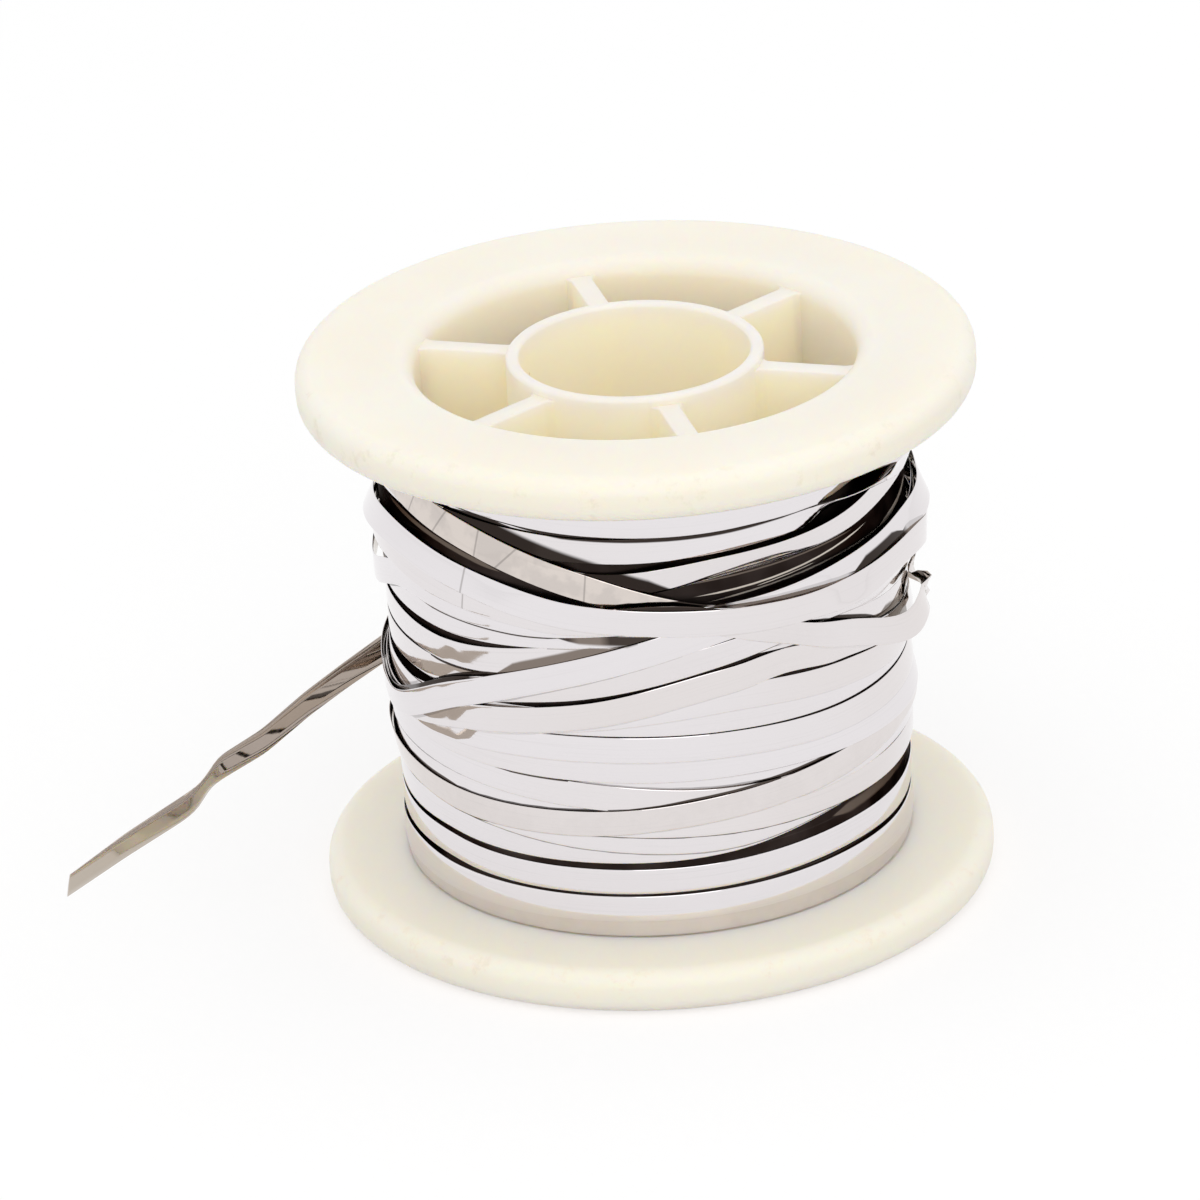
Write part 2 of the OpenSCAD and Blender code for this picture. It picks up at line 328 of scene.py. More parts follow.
def remove_helper(obj):
    """Drops a helper object and its mesh"""
    mesh = obj.data
    bpy.data.objects.remove(obj)
    bpy.data.meshes.remove(mesh)


def face_outward(mesh):
    """Turns the faces of a closed mesh outwards"""
    shell = bmesh.new()
    shell.from_mesh(mesh)
    bmesh.ops.recalc_face_normals(shell, faces=shell.faces)
    shell.to_mesh(mesh)
    shell.free()


class Nodes:
    """Short way to build a node tree: every input takes a value or a socket to link"""

    def __init__(self, tree):
        self.tree = tree

    def fill(self, node, inputs):
        for key, value in inputs.items():
            if isinstance(value, bpy.types.NodeSocket):
                self.tree.links.new(value, node.inputs[key])
            else:
                node.inputs[key].default_value = value

    def add(self, kind, inputs=None, **settings):
        node = self.tree.nodes.new(kind)
        for key, value in settings.items():
            setattr(node, key, value)
        self.fill(node, inputs or {})
        return node

    def out(self, kind, inputs=None, **settings):
        return self.add(kind, inputs, **settings).outputs[0]

    def link(self, a, b):
        self.tree.links.new(a, b)

    def math(self, operation, *values, clamp=False):
        return self.out("ShaderNodeMath", dict(enumerate(values)), operation=operation, use_clamp=clamp)

    def plus(self, a, b):
        return self.math("ADD", a, b)

    def minus(self, a, b):
        return self.math("SUBTRACT", a, b)

    def times(self, a, b):
        return self.math("MULTIPLY", a, b)

    def over(self, a, b):
        return self.math("DIVIDE", a, b)

    def vector(self, x, y=0.0, z=0.0):
        return self.out("ShaderNodeCombineXYZ", {0: x, 1: y, 2: z})

    def parts(self, vector):
        return self.add("ShaderNodeSeparateXYZ", {0: vector}).outputs

    def named(self, name, kind="FLOAT"):
        return self.out("GeometryNodeInputNamedAttribute", {"Name": name}, data_type=kind)

    def store(self, geometry, name, value, kind="FLOAT", domain="POINT"):
        inputs = {0: geometry, "Name": name, "Value": value}
        return self.out("GeometryNodeStoreNamedAttribute", inputs, data_type=kind, domain=domain)


def new_material(name):
    """An empty node material with its principled shader and the node helper"""
    material = bpy.data.materials.new(name)
    material.use_nodes = True
    shader = material.node_tree.nodes["Principled BSDF"]
    return material, shader, Nodes(material.node_tree)


def cleared_nodes(holder):
    """The node helper for a material or world whose nodes are built from nothing"""
    holder.use_nodes = True
    holder.node_tree.nodes.clear()
    return Nodes(holder.node_tree)


def mix_colour(nodes, factor, a, b):
    """Mix of two colours"""
    a, b = (colour if isinstance(colour, bpy.types.NodeSocket) else (*colour, 1.0) for colour in (a, b))
    return nodes.add("ShaderNodeMix", {0: factor, 6: a, 7: b}, data_type="RGBA").outputs[2]


def ramp(nodes, value, low, high, to_low=0.0, to_high=1.0):
    """Smooth step of a value between two bounds"""
    inputs = {"Value": value, "From Min": low, "From Max": high, "To Min": to_low, "To Max": to_high}
    return nodes.out("ShaderNodeMapRange", inputs, interpolation_type="SMOOTHSTEP")


def noise(nodes, vector, scale, detail=2.0, rough=0.5):
    """Fractal noise value at a point"""
    inputs = {"Vector": vector, "Scale": scale, "Detail": detail, "Roughness": rough}
    return nodes.out("ShaderNodeTexNoise", inputs)


def bump(nodes, height, strength, distance, **more):
    """Relief of the shading alone"""
    return nodes.out("ShaderNodeBump", {"Height": height, "Strength": strength, "Distance": distance, **more})


def object_place(nodes):
    """Place on the object"""
    return nodes.add("ShaderNodeTexCoord").outputs["Object"]


# Colours of the plastic: its cloudy parts, painted bounce light inside the barrel, painted warm light on the lower
# flange, specks, scuffs, and both painted glows
CLOUDY = (0.975, 0.880, 0.80)
DEEP_BOUNCE_LIGHT = (1.0, 0.895, 0.74)
LOWER_WARM_LIGHT = (1.0, 0.875, 0.76)
SPECK = (0.42, 0.34, 0.24)
SCUFF = (0.70, 0.63, 0.50)
DEEP_GLOW = (1.0, 0.82, 0.30)
LOWER_GLOW = (0.66, 0.48, 0.34)
NO_GLOW = (0.0, 0.0, 0.0)


def plastic_finish(sizes):
    """Cream moulded plastic: cloudy tone, painted bounce light that makes it deeper and yellower inside the barrel,
    painted warm light on the lower flange, a painted glow, tiny specks and scuffs near the rims
    """
    material, shader, nodes = new_material("spool_plastic")
    place = object_place(nodes)
    x, y, z = nodes.parts(place)
    radius = nodes.math("SQRT", nodes.plus(nodes.times(x, x), nodes.times(y, y)))
    cloud = noise(nodes, place, 55, 3.0, 0.55)
    base = mix_colour(nodes, ramp(nodes, cloud, 0.35, 0.7), sizes.plastic, CLOUDY)
    # Painted bounce light: light that passes from wall to wall inside the barrel comes back stronger and more yellow,
    # so the colour there is painted brighter and yellower
    below_face = nodes.minus(sizes.height - 0.6 * MM, z)
    inner_wall = nodes.minus(sizes.barrel_radius - 1.6 * MM, radius)
    barrel_light_mask = ramp(nodes, nodes.math("MINIMUM", below_face, inner_wall), 0.0, 2.4 * MM)
    base = mix_colour(nodes, barrel_light_mask, base, DEEP_BOUNCE_LIGHT)
    # The lower flange is painted a little warmer: painted light, standing in for the warm tone of the shade it lies
    # in
    low = ramp(nodes, z, 4.0 * MM, 5.0 * MM, 1.0, 0.0)
    base = mix_colour(nodes, low, base, LOWER_WARM_LIGHT)
    # Specks in the moulding
    dust = nodes.add("ShaderNodeTexVoronoi", {"Vector": place, "Scale": 240.0, "Randomness": 1.0})
    spot = ramp(nodes, dust.outputs["Distance"], 0.035, 0.075, 1.0, 0.0)
    rare = ramp(nodes, noise(nodes, place, 330, 1.0), 0.62, 0.68)
    speck = nodes.times(nodes.times(spot, rare), 0.45)
    base = mix_colour(nodes, speck, base, SPECK)
    # Handling marks where the rims rub
    rim = ramp(nodes, radius, sizes.flange_radius - 2.2 * MM, sizes.flange_radius - 0.2 * MM)
    rub = ramp(nodes, noise(nodes, place, 420, 4.0, 0.7), 0.56, 0.72)
    scuff = nodes.times(nodes.times(rim, rub), 0.28)
    base = mix_colour(nodes, scuff, base, SCUFF)
    rough = ramp(nodes, noise(nodes, place, 140, 3.0), 0.3, 0.7, 0.36, 0.46)
    # Mould texture and the slight waviness of a cooled flange
    grain = bump(nodes, noise(nodes, place, 1500, 3.0, 0.6), 0.05, 0.1 * MM)
    waves = bump(nodes, noise(nodes, place, 90), 0.12, 0.6 * MM, Normal=grain)
    # Painted glow: an emission stands in for light that comes through the walls, in the pockets and in the lower
    # flange
    glow = mix_colour(nodes, low, NO_GLOW, LOWER_GLOW)
    inputs = {
        "Base Color": base,
        "Roughness": nodes.plus(rough, nodes.times(scuff, 0.6)),
        "Normal": waves,
        "Emission Color": mix_colour(nodes, barrel_light_mask, glow, DEEP_GLOW),
        "Emission Strength": 0.05,
        "Specular IOR Level": 0.42,
        "Subsurface Weight": 0.8,
        "Subsurface Radius": (1.0, 0.72, 0.34),
        "Subsurface Scale": 5 * MM,
    }
    nodes.fill(shader, inputs)
    return material


# Colours of the strip: rolling lines, grey mottle, painted shade in the creases and the paler painted shade of the
# seams
ROLLED = (0.55, 0.52, 0.52)
MOTTLE = (0.50, 0.46, 0.44)
CREASE_SHADE = (0.22, 0.20, 0.19)
PALER_SEAM_SHADE = (0.23, 0.19, 0.165)


def mark(nodes, name):
    """Value that the strip carries along its length"""
    return nodes.add("ShaderNodeAttribute", attribute_name=name).outputs["Fac"]


def crease_lines(nodes, across):
    """Thin lines where the strip was kinked across"""
    turning = mark(nodes, "turning")
    total = 0.0
    for turn, degree, slant, width in CREASES:
        place = nodes.minus(turning, 360 * turn + degree)
        place = nodes.plus(place, nodes.times(across, slant * 1000))
        line = ramp(nodes, nodes.math("ABSOLUTE", place), width * 0.3, width, 1.0, 0.0)
        total = nodes.math("MAXIMUM", line, total)
    return total


def strip_finish(sizes):
    """Bright rolled strip: long drifts of tint, fine rolling lines, creases with painted shade, bands of painted
    shade and dark reflection beside raised edges
    """
    material, shader, nodes = new_material("ribbon_bright")
    strip = nodes.out("ShaderNodeUVMap", uv_map="strip")
    along, across = nodes.parts(strip)[:2]
    drift = noise(nodes, nodes.vector(nodes.times(along, 14.0)), 1.0)
    drift = ramp(nodes, drift, 0.42, 0.72, 0.0, 0.4)
    warm = mark(nodes, "warmth")
    warmer = nodes.math("ADD", drift, warm, clamp=True)
    base = mix_colour(nodes, warmer, sizes.bright, sizes.warm)
    # Rolling lines: stretched hundreds of times along the strip
    line_place = nodes.vector(nodes.times(along, 60.0), nodes.times(across, 6000.0))
    lines = noise(nodes, line_place, 1.0, 4.0, 0.65)
    base = mix_colour(nodes, nodes.times(ramp(nodes, lines, 0.5, 0.8), 0.18), base, ROLLED)
    # Finger smudges and dulled lengths
    place = object_place(nodes)
    smudge = ramp(nodes, noise(nodes, place, 110, 3.0, 0.6), 0.5, 0.72)
    # The warm lengths are mottled grey
    mottle = ramp(nodes, noise(nodes, place, 420, 3.0, 0.6), 0.42, 0.62)
    mottle = nodes.times(mottle, nodes.times(warm, warm))
    base = mix_colour(nodes, nodes.times(mottle, 0.4), base, MOTTLE)
    # The face that lay inwards is painted darker and browner: partly the metal's lower reflectance, partly a painted
    # reflection of the spool's shaded side
    base = mix_colour(nodes, mark(nodes, "inside"), base, sizes.inner_face)
    # Painted shade in the creases; the same lines also raise the relief below
    crease_and_shade = crease_lines(nodes, across)
    base = mix_colour(nodes, nodes.times(crease_and_shade, 0.5), base, CREASE_SHADE)
    # Painted shade and painted dark reflection: beside the edge of a turn that lies over it the strip sees only dark
    # metal
    height = nodes.parts(place)[2]
    above = nodes.minus(mark(nodes, "seam_above"), height)
    below = nodes.minus(height, mark(nodes, "seam_below"))
    shades = []
    for side, away in (("above", above), ("below", below)):
        share = nodes.over(away, mark(nodes, "reach_" + side))
        shades.append(nodes.times(ramp(nodes, share, 0.7, 1.0, 1.0, 0.0), mark(nodes, "force_" + side)))
    shade = nodes.math("MAXIMUM", *shades)
    # Colour of the painted shade: near-black, or a paler brown where the tone says
    dark = mix_colour(nodes, mark(nodes, "tone"), sizes.buried, PALER_SEAM_SHADE)
    base = mix_colour(nodes, shade, base, dark)
    rough = nodes.plus(ramp(nodes, lines, 0.3, 0.75, 0.03, 0.07), nodes.times(smudge, 0.03))
    relief = bump(nodes, nodes.plus(nodes.times(lines, 0.25), crease_and_shade), 0.05, 0.03 * MM)
    nodes.fill(shader, {"Base Color": base, "Roughness": rough, "Normal": relief, "Metallic": 1.0})
    return material


# Height of one buried layer in millimetres, and colours of the layers, which are painted dark as shade: their paler
# parts, painted glints and painted highlights on thin edges
LAYER_PITCH = 1.15
PALER_LAYER = (0.045, 0.034, 0.031)
GLINT = (0.46, 0.42, 0.39)
BRIGHT_EDGE_HIGHLIGHT = (0.66, 0.60, 0.53)
BROWN_EDGE_HIGHLIGHT = (0.15, 0.12, 0.10)


def edge_path(nodes, azimuth, height, path):
    """Strength of one thin edge, a painted highlight, that runs round the buried layers from one direction to another
    """
    first, last, start, midway, end, width = path
    along = nodes.over(nodes.minus(azimuth, first), last - first)
    curve = 2 * start - 4 * midway + 2 * end
    slope = 4 * midway - 3 * start - end
    bent = nodes.times(nodes.plus(nodes.times(along, curve), slope), along)
    away = nodes.math("ABSOLUTE", nodes.minus(height, nodes.plus(bent, start)))
    # Both ends run out to a point
    ends = ramp(nodes, nodes.math("MINIMUM", along, nodes.minus(1.0, along)), 0.0, 0.16)
    line = ramp(nodes, nodes.over(away, nodes.math("MAXIMUM", ends, 0.01)), width * 0.5, width, 1.0, 0.0)
    return nodes.times(line, ramp(nodes, ends, 0.0, 0.3))


def buried_finish(sizes):
    """Inner layers painted dark as shade: near-black metal with painted glints and painted highlights on the thin
    edges of deeper turns, bright ones and brown ones
    """
    material, shader, nodes = new_material("ribbon_inner")
    place = object_place(nodes)
    x, y, z = nodes.parts(place)
    azimuth = nodes.plus(nodes.math("DEGREES", nodes.math("ARCTAN2", y, x)), 360)
    height = nodes.times(z, 1000)
    # A slow wander tilts the buried turns against the level
    wander = noise(nodes, place, 32)
    layer = nodes.plus(nodes.times(z, 1000 / LAYER_PITCH), nodes.times(wander, 2.6))
    phase = nodes.math("FRACT", layer)
    # Painted glints along the layers' edges
    edge = ramp(nodes, phase, 0.02, 0.09, 1.0, 0.0)
    patch = ramp(nodes, noise(nodes, place, 75), 0.5, 0.66)
    glint = nodes.times(nodes.times(edge, patch), 0.10)
    tone = noise(nodes, place, 180, 3.0)
    base = mix_colour(nodes, ramp(nodes, tone, 0.4, 0.75), sizes.buried, PALER_LAYER)
    base = mix_colour(nodes, glint, base, GLINT)
    # Painted highlights on the thin edges of deeper turns
    for paths, colour in ((BRIGHT_EDGES, BRIGHT_EDGE_HIGHLIGHT), (BROWN_EDGES, BROWN_EDGE_HIGHLIGHT)):
        total = 0.0
        for path in paths:
            total = nodes.math("MAXIMUM", edge_path(nodes, azimuth, height, path), total)
        base = mix_colour(nodes, total, base, colour)
    rough = ramp(nodes, tone, 0.3, 0.7, 0.28, 0.45)
    relief = bump(nodes, nodes.math("ABSOLUTE", nodes.minus(phase, 0.5)), 0.3, 0.08 * MM)
    nodes.fill(shader, {"Base Color": base, "Roughness": rough, "Normal": relief, "Metallic": 1.0})
    shader.inputs["Specular Tint"].default_value = (0.16, 0.13, 0.12, 1.0)
    return material


def arc(centre, radius, start, end, count):
    """Points on a circle from one angle to another, in degrees"""
    angles = np.radians(np.linspace(start, end, count))
    return [(centre[0] + radius * math.cos(a), centre[1] + radius * math.sin(a)) for a in angles]


def revolve(name, outline, segments):
    """A closed ring from an outline of radius and height that runs round once"""
    ring = np.array(outline)
    count = len(ring)
    angles = np.linspace(0, 2 * math.pi, segments, endpoint=False)
    verts = [(r * math.cos(a), r * math.sin(a), z) for a in angles for r, z in ring]
    faces = []
    for s in range(segments):
        t = (s + 1) % segments
        for i in range(count):
            j = (i + 1) % count
            faces.append((s * count + i, t * count + i, t * count + j, s * count + j))
    mesh = bpy.data.meshes.new(name)
    mesh.from_pydata(verts, [], faces)
    face_outward(mesh)
    return mesh


# Fillet where barrel and flanges meet, rounding of the tube's end, bevel of the ribs, and their roots in the walls
BARREL_FILLET = 0.35 * MM
TUBE_ROUND = 0.4 * MM
RIB_BEVEL = 0.3 * MM
RIB_SINK = 0.2 * MM
RIB_ROOT = 0.5 * MM
# Bends of the moulding above this angle stay crisp
CRISP_ANGLE = math.radians(32)


def flanged_barrel(sizes):
    """Both flanges and the hollow barrel between them, as one ring"""
    inner = sizes.barrel_radius - sizes.barrel_wall
    face = inner + sizes.mouth_round
    rim = sizes.rim_round
    edge = sizes.flange_radius - rim
    root = BARREL_FILLET
    low = (
        arc((face, sizes.mouth_round), sizes.mouth_round, 180, 270, 12)
        + arc((edge, rim), rim, -90, 0, 12)
        + arc((edge, sizes.flange - rim), rim, 0, 90, 12)
        + arc((sizes.barrel_radius + root, sizes.flange + root), root, 270, 180, 5)
    )
    high = [(r, sizes.height - z) for r, z in reversed(low)]
    return revolve("barrel", low + high, 288)


def centre_tube(sizes):
    """The tube with the spindle bore, its upper rim rounded"""
    top = sizes.height - sizes.tube_inset
    soft = TUBE_ROUND
    outline = [(sizes.bore_radius, 0.0), (sizes.tube_radius, 0.0)]
    outline += arc((sizes.tube_radius - soft, top - soft), soft, 0, 90, 6)
    outline += arc((sizes.bore_radius + soft, top - soft), soft, 90, 180, 6)
    return revolve("tube", outline, 192)


def rib_blade(sizes):
    """One rib along +X, widening into both walls, with softened upper and lower edges"""
    inner = sizes.barrel_radius - sizes.barrel_wall
    fillet = sizes.rib_fillet
    sink, root = RIB_SINK, RIB_ROOT
    out = sizes.rib_thickness / 2 + fillet
    side = [(sizes.tube_radius - root, out)]
    side += arc((sizes.tube_radius - sink + fillet, out), fillet, 180, 270, 7)
    side += arc((inner + sink - fillet, out), fillet, 270, 360, 7)
    side += [(inner + root, out)]
    outline = [(x, -y) for x, y in side] + list(reversed(side))
    low = sizes.rib_inset
    high = sizes.height - sizes.rib_inset
    shell = bmesh.new()
    bottom = [shell.verts.new((x, y, low)) for x, y in outline]
    top = [shell.verts.new((x, y, high)) for x, y in outline]
    count = len(outline)
    for i in range(count):
        j = (i + 1) % count
        shell.faces.new((bottom[i], bottom[j], top[j], top[i]))
    shell.faces.new(reversed(bottom))
    shell.faces.new(top)
    bmesh.ops.recalc_face_normals(shell, faces=shell.faces)
    soft = [e for e in shell.edges if abs(e.verts[0].co.z - e.verts[1].co.z) < 1e-7]
    bmesh.ops.bevel(
        shell, geom=soft, offset=RIB_BEVEL, segments=3, profile=0.5, affect="EDGES", clamp_overlap=True
    )
    mesh = bpy.data.meshes.new("rib")
    shell.to_mesh(mesh)
    shell.free()
    return mesh


def new_tree(name, inputs):
    """A geometry node tree with its named inputs, the node helper and what the inputs give"""
    tree = bpy.data.node_groups.new(name, "GeometryNodeTree")
    for label, kind in {"Geometry": "Geometry", **inputs}.items():
        tree.interface.new_socket(label, in_out="INPUT", socket_type="NodeSocket" + kind)
    tree.interface.new_socket("Geometry", in_out="OUTPUT", socket_type="NodeSocketGeometry")
    nodes = Nodes(tree)
    return tree, nodes, nodes.add("NodeGroupInput").outputs


def end_tree(nodes, geometry, finish):
    """Realizes the geometry, gives it its finish and hands it out"""
    real = nodes.out("GeometryNodeRealizeInstances", {0: geometry})
    dressed = nodes.out("GeometryNodeSetMaterial", {0: real, "Material": finish})
    nodes.link(dressed, nodes.add("NodeGroupOutput").inputs[0])


def shape_of(nodes, helper):
    """Geometry of a helper object"""
    return nodes.add("GeometryNodeObjectInfo", {"Object": helper}).outputs["Geometry"]


def ribbed_spool_tree():
    """Node tree: sets the ribs round the tube, joins all to one solid and gives it its finish"""
    inputs = {"Tube": "Object", "Rib": "Object", "Ribs": "Int", "First rib": "Float", "Finish": "Material"}
    tree, nodes, given = new_tree("ribbed_spool", inputs)
    tube = shape_of(nodes, given["Tube"])
    rib = shape_of(nodes, given["Rib"])
    spots = nodes.out("GeometryNodeMeshLine", {"Count": given["Ribs"], "Offset": (0, 0, 0)}, mode="OFFSET")
    index = nodes.out("GeometryNodeInputIndex")
    share = nodes.over(nodes.times(index, 2 * math.pi), given["Ribs"])
    turn = nodes.vector(0.0, 0.0, nodes.plus(share, given["First rib"]))
    ribs = nodes.out("GeometryNodeInstanceOnPoints", {"Points": spots, "Instance": rib, "Rotation": turn})
    ribs = nodes.out("GeometryNodeRealizeInstances", {0: ribs})
    joined = nodes.add("GeometryNodeMeshBoolean", operation="UNION", solver="EXACT")
    for part in (given["Geometry"], tube, ribs):
        nodes.link(part, joined.inputs["Mesh"])
    bend = nodes.out("GeometryNodeInputMeshEdgeAngle")
    limits = {"A": bend, "B": CRISP_ANGLE}
    crisp = nodes.out("FunctionNodeCompare", limits, data_type="FLOAT", operation="GREATER_THAN")
    smooth = nodes.add("GeometryNodeSetShadeSmooth", {0: joined.outputs[0], "Shade Smooth": True}, domain="FACE")
    edges = {0: smooth.outputs[0], "Selection": crisp, "Shade Smooth": False}
    keep = nodes.add("GeometryNodeSetShadeSmooth", edges, domain="EDGE")
    end_tree(nodes, keep.outputs[0], given["Finish"])
    return tree


class RIBBONSPOOL_OT_spool(bpy.types.Operator):
    """Moulds the spool: flanges, barrel, centre tube and ribs as one solid"""

    bl_idname = "ribbon_spool.spool"
    bl_label = "Mould the spool"

    def execute(self, context):
        sizes = context.scene.spool_sizes
        spool = link_new("moulded_spool", flanged_barrel(sizes))
        tube = link_new("tube", centre_tube(sizes))
        rib = link_new("rib", rib_blade(sizes))
        finish = plastic_finish(sizes)
        values = {"Tube": tube, "Rib": rib, "Ribs": sizes.rib_count, "First rib": sizes.rib_angle, "Finish": finish}
        run_tree(spool, ribbed_spool_tree(), values)
        remove_helper(tube)
        remove_helper(rib)
        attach(spool, ROOT)
        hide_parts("spool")
        return {"FINISHED"}


class RIBBONSPOOL_OT_layers(bpy.types.Operator):
    """Gives the buried layers of the winding their painted shade: dark, lined metal with painted highlights"""

    bl_idname = "ribbon_spool.layers"
    bl_label = "Dress the buried layers"

    def execute(self, context):
        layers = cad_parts["wound_ribbon"]
        layers.data.materials.clear()
        layers.data.materials.append(buried_finish(context.scene.ribbon_sizes))
        return {"FINISHED"}


def fitted(height):
    """Height in the winding, in millimetres, for a height in the rows"""
    low = layers_low.z / MM + EDGE_ROOM
    high = layers_high.z / MM - EDGE_ROOM
    return low + (height - ROWS_LOW) * (high - low) / (ROWS_HIGH - ROWS_LOW)


def route_knots():
    """Angles and heights of the knots of the whole route"""
    angles, heights = [], []
    for turn, row in enumerate(TURN_ROWS):
        behind = row[0] if turn == 0 else (TURN_ROWS[turn - 1][5] + row[0]) / 2
        angles.append(360 * turn + START_ANGLE)
        heights.append(fitted(behind))
        for place, height in enumerate(row):
            angles.append(360 * turn + ROW_START + ROW_PITCH * place)
            heights.append(fitted(height))
    angles.append(360 * len(TURN_ROWS) + START_ANGLE + EXIT_TURN_ANGLE)
    heights.append(fitted(EXIT_HEIGHT))
    return np.array(angles), np.array(heights)


def route_heights(angles):
    """Smooth heights between the knots"""
    knot_a, knot_h = route_knots()
    last = len(knot_a) - 1
    after = np.minimum(np.arange(last + 1) + 1, last)
    before = np.maximum(np.arange(last + 1) - 1, 0)
    slopes = (knot_h[after] - knot_h[before]) / (knot_a[after] - knot_a[before])
    i = np.clip(np.searchsorted(knot_a, angles, side="right") - 1, 0, last - 1)
    span = knot_a[i + 1] - knot_a[i]
    u = (angles - knot_a[i]) / span
    return (
        knot_h[i] * (2 * u**3 - 3 * u**2 + 1)
        + span * slopes[i] * (u**3 - 2 * u**2 + u)
        + knot_h[i + 1] * (3 * u**2 - 2 * u**3)
        + span * slopes[i + 1] * (u**3 - u**2)
    )


def hann(reach):
    """Smoothing weights over a reach on both sides"""
    w = np.cos(np.linspace(-1, 1, 2 * reach + 3)[1:-1] * math.pi / 2) ** 2
    return w / w.sum()


def smoothed(values, reach):
    """Values eased over a reach, the first and last one carried on past the ends"""
    return np.convolve(np.pad(values, reach, mode="edge"), hann(reach), mode="valid")


# A stretch with no painted shade: height and reach of the seam above, the same below, both forces, tone
OPEN_SEAMS = [1000.0, 1.0, -1000.0, 1.0, 0.0, 0.0, 0.0]


